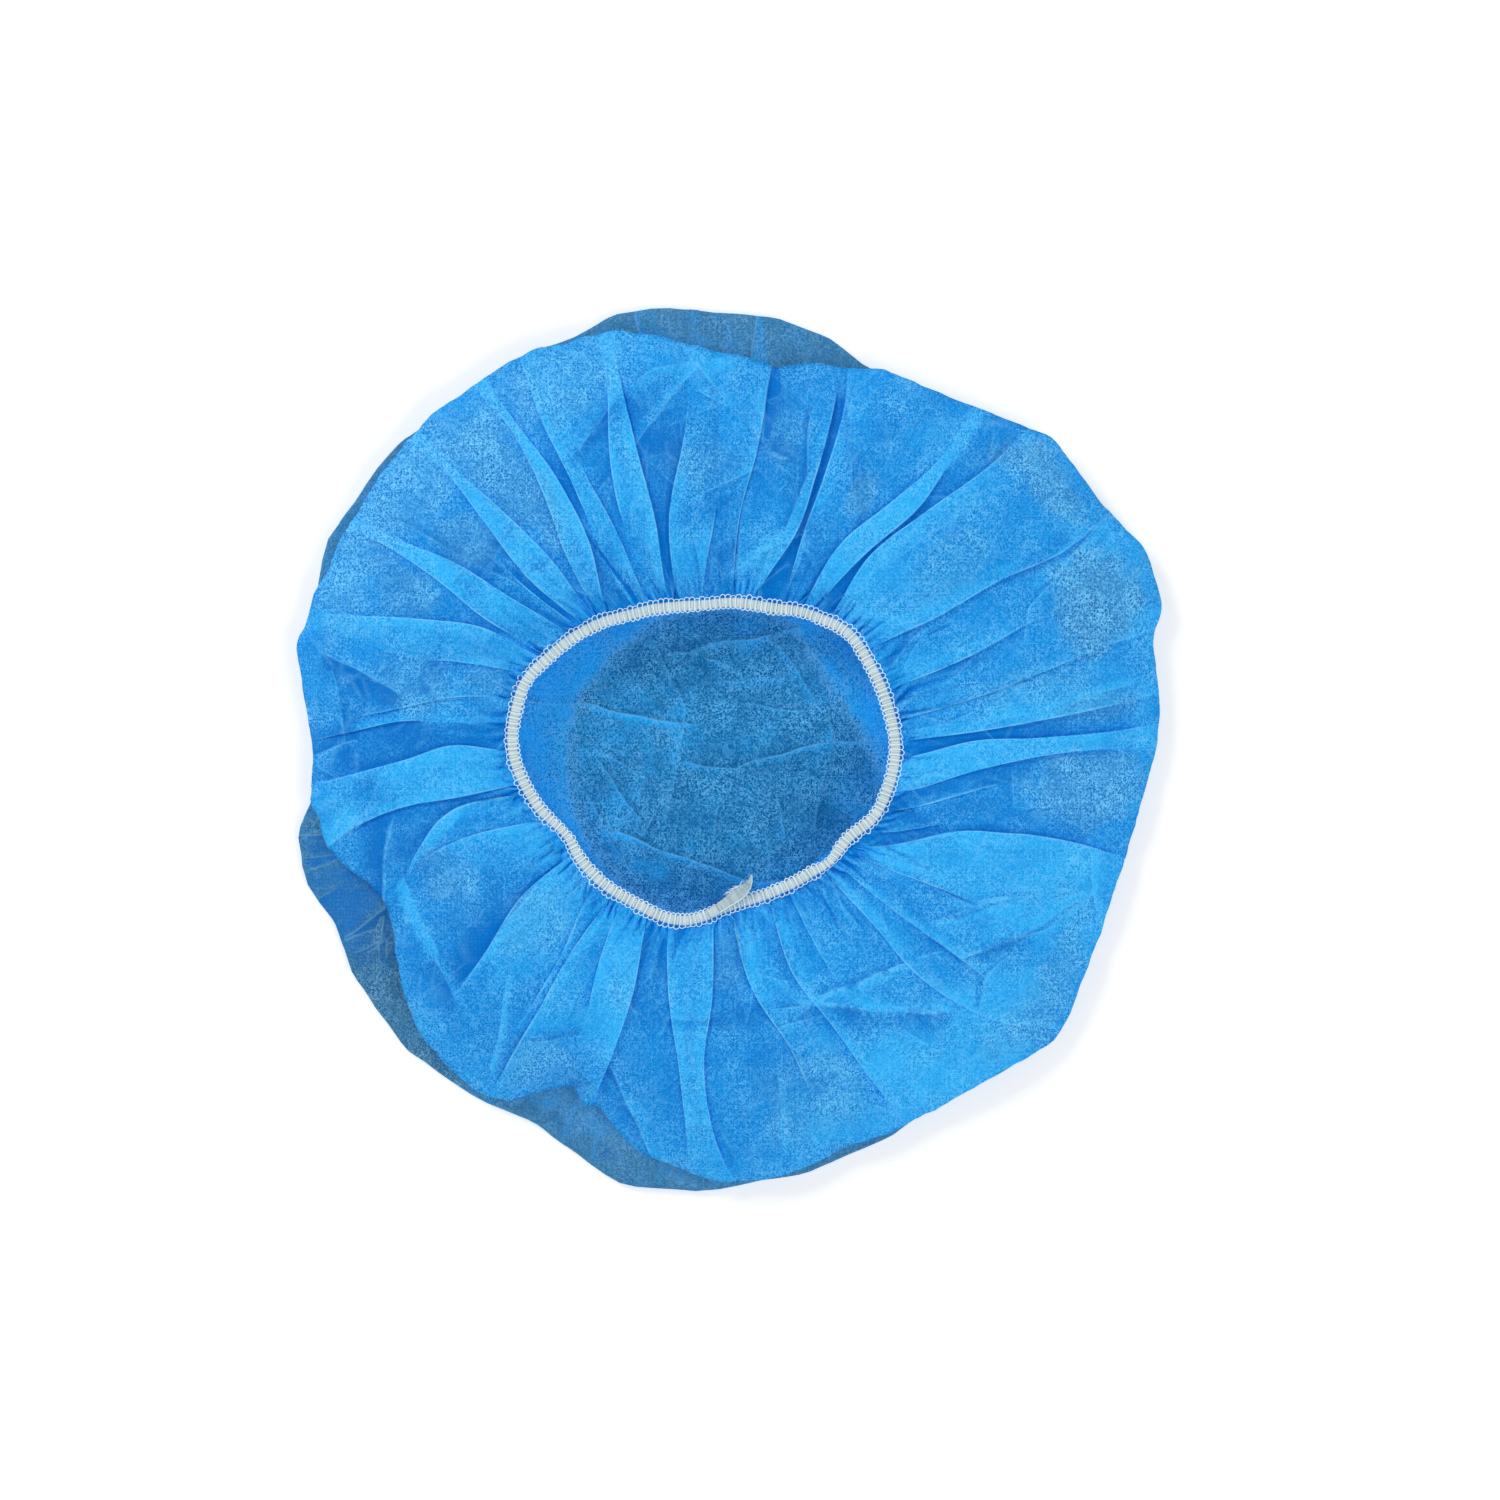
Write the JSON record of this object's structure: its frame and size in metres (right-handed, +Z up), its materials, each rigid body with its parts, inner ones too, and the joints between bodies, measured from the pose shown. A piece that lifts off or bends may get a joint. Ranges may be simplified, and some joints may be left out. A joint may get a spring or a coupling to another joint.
{
  "type": "bouffant cap",
  "caption": "Loose round hair cap of thin blue nonwoven, gathered onto a flat white elastic ring, lying on its crown with the opening up.",
  "frame": {"origin": "on the table, under the middle of the cap's box", "axes": "+Z up out of the opening, +X and +Y along the table; seen from above with +Y up the page, the elastic's joint is at the bottom"},
  "size_m": [0.3344, 0.3434, 0.0424],
  "materials": {
    "cloth": "thin translucent spunbond nonwoven, blue",
    "elastic": "flat ribbed knitted elastic and thread, off-white"
  },
  "bodies": {
    "root": {"cap_cloth": "cloth", "elastic_band": "elastic", "elastic_end": "elastic"}
  },
  "joints": []
}
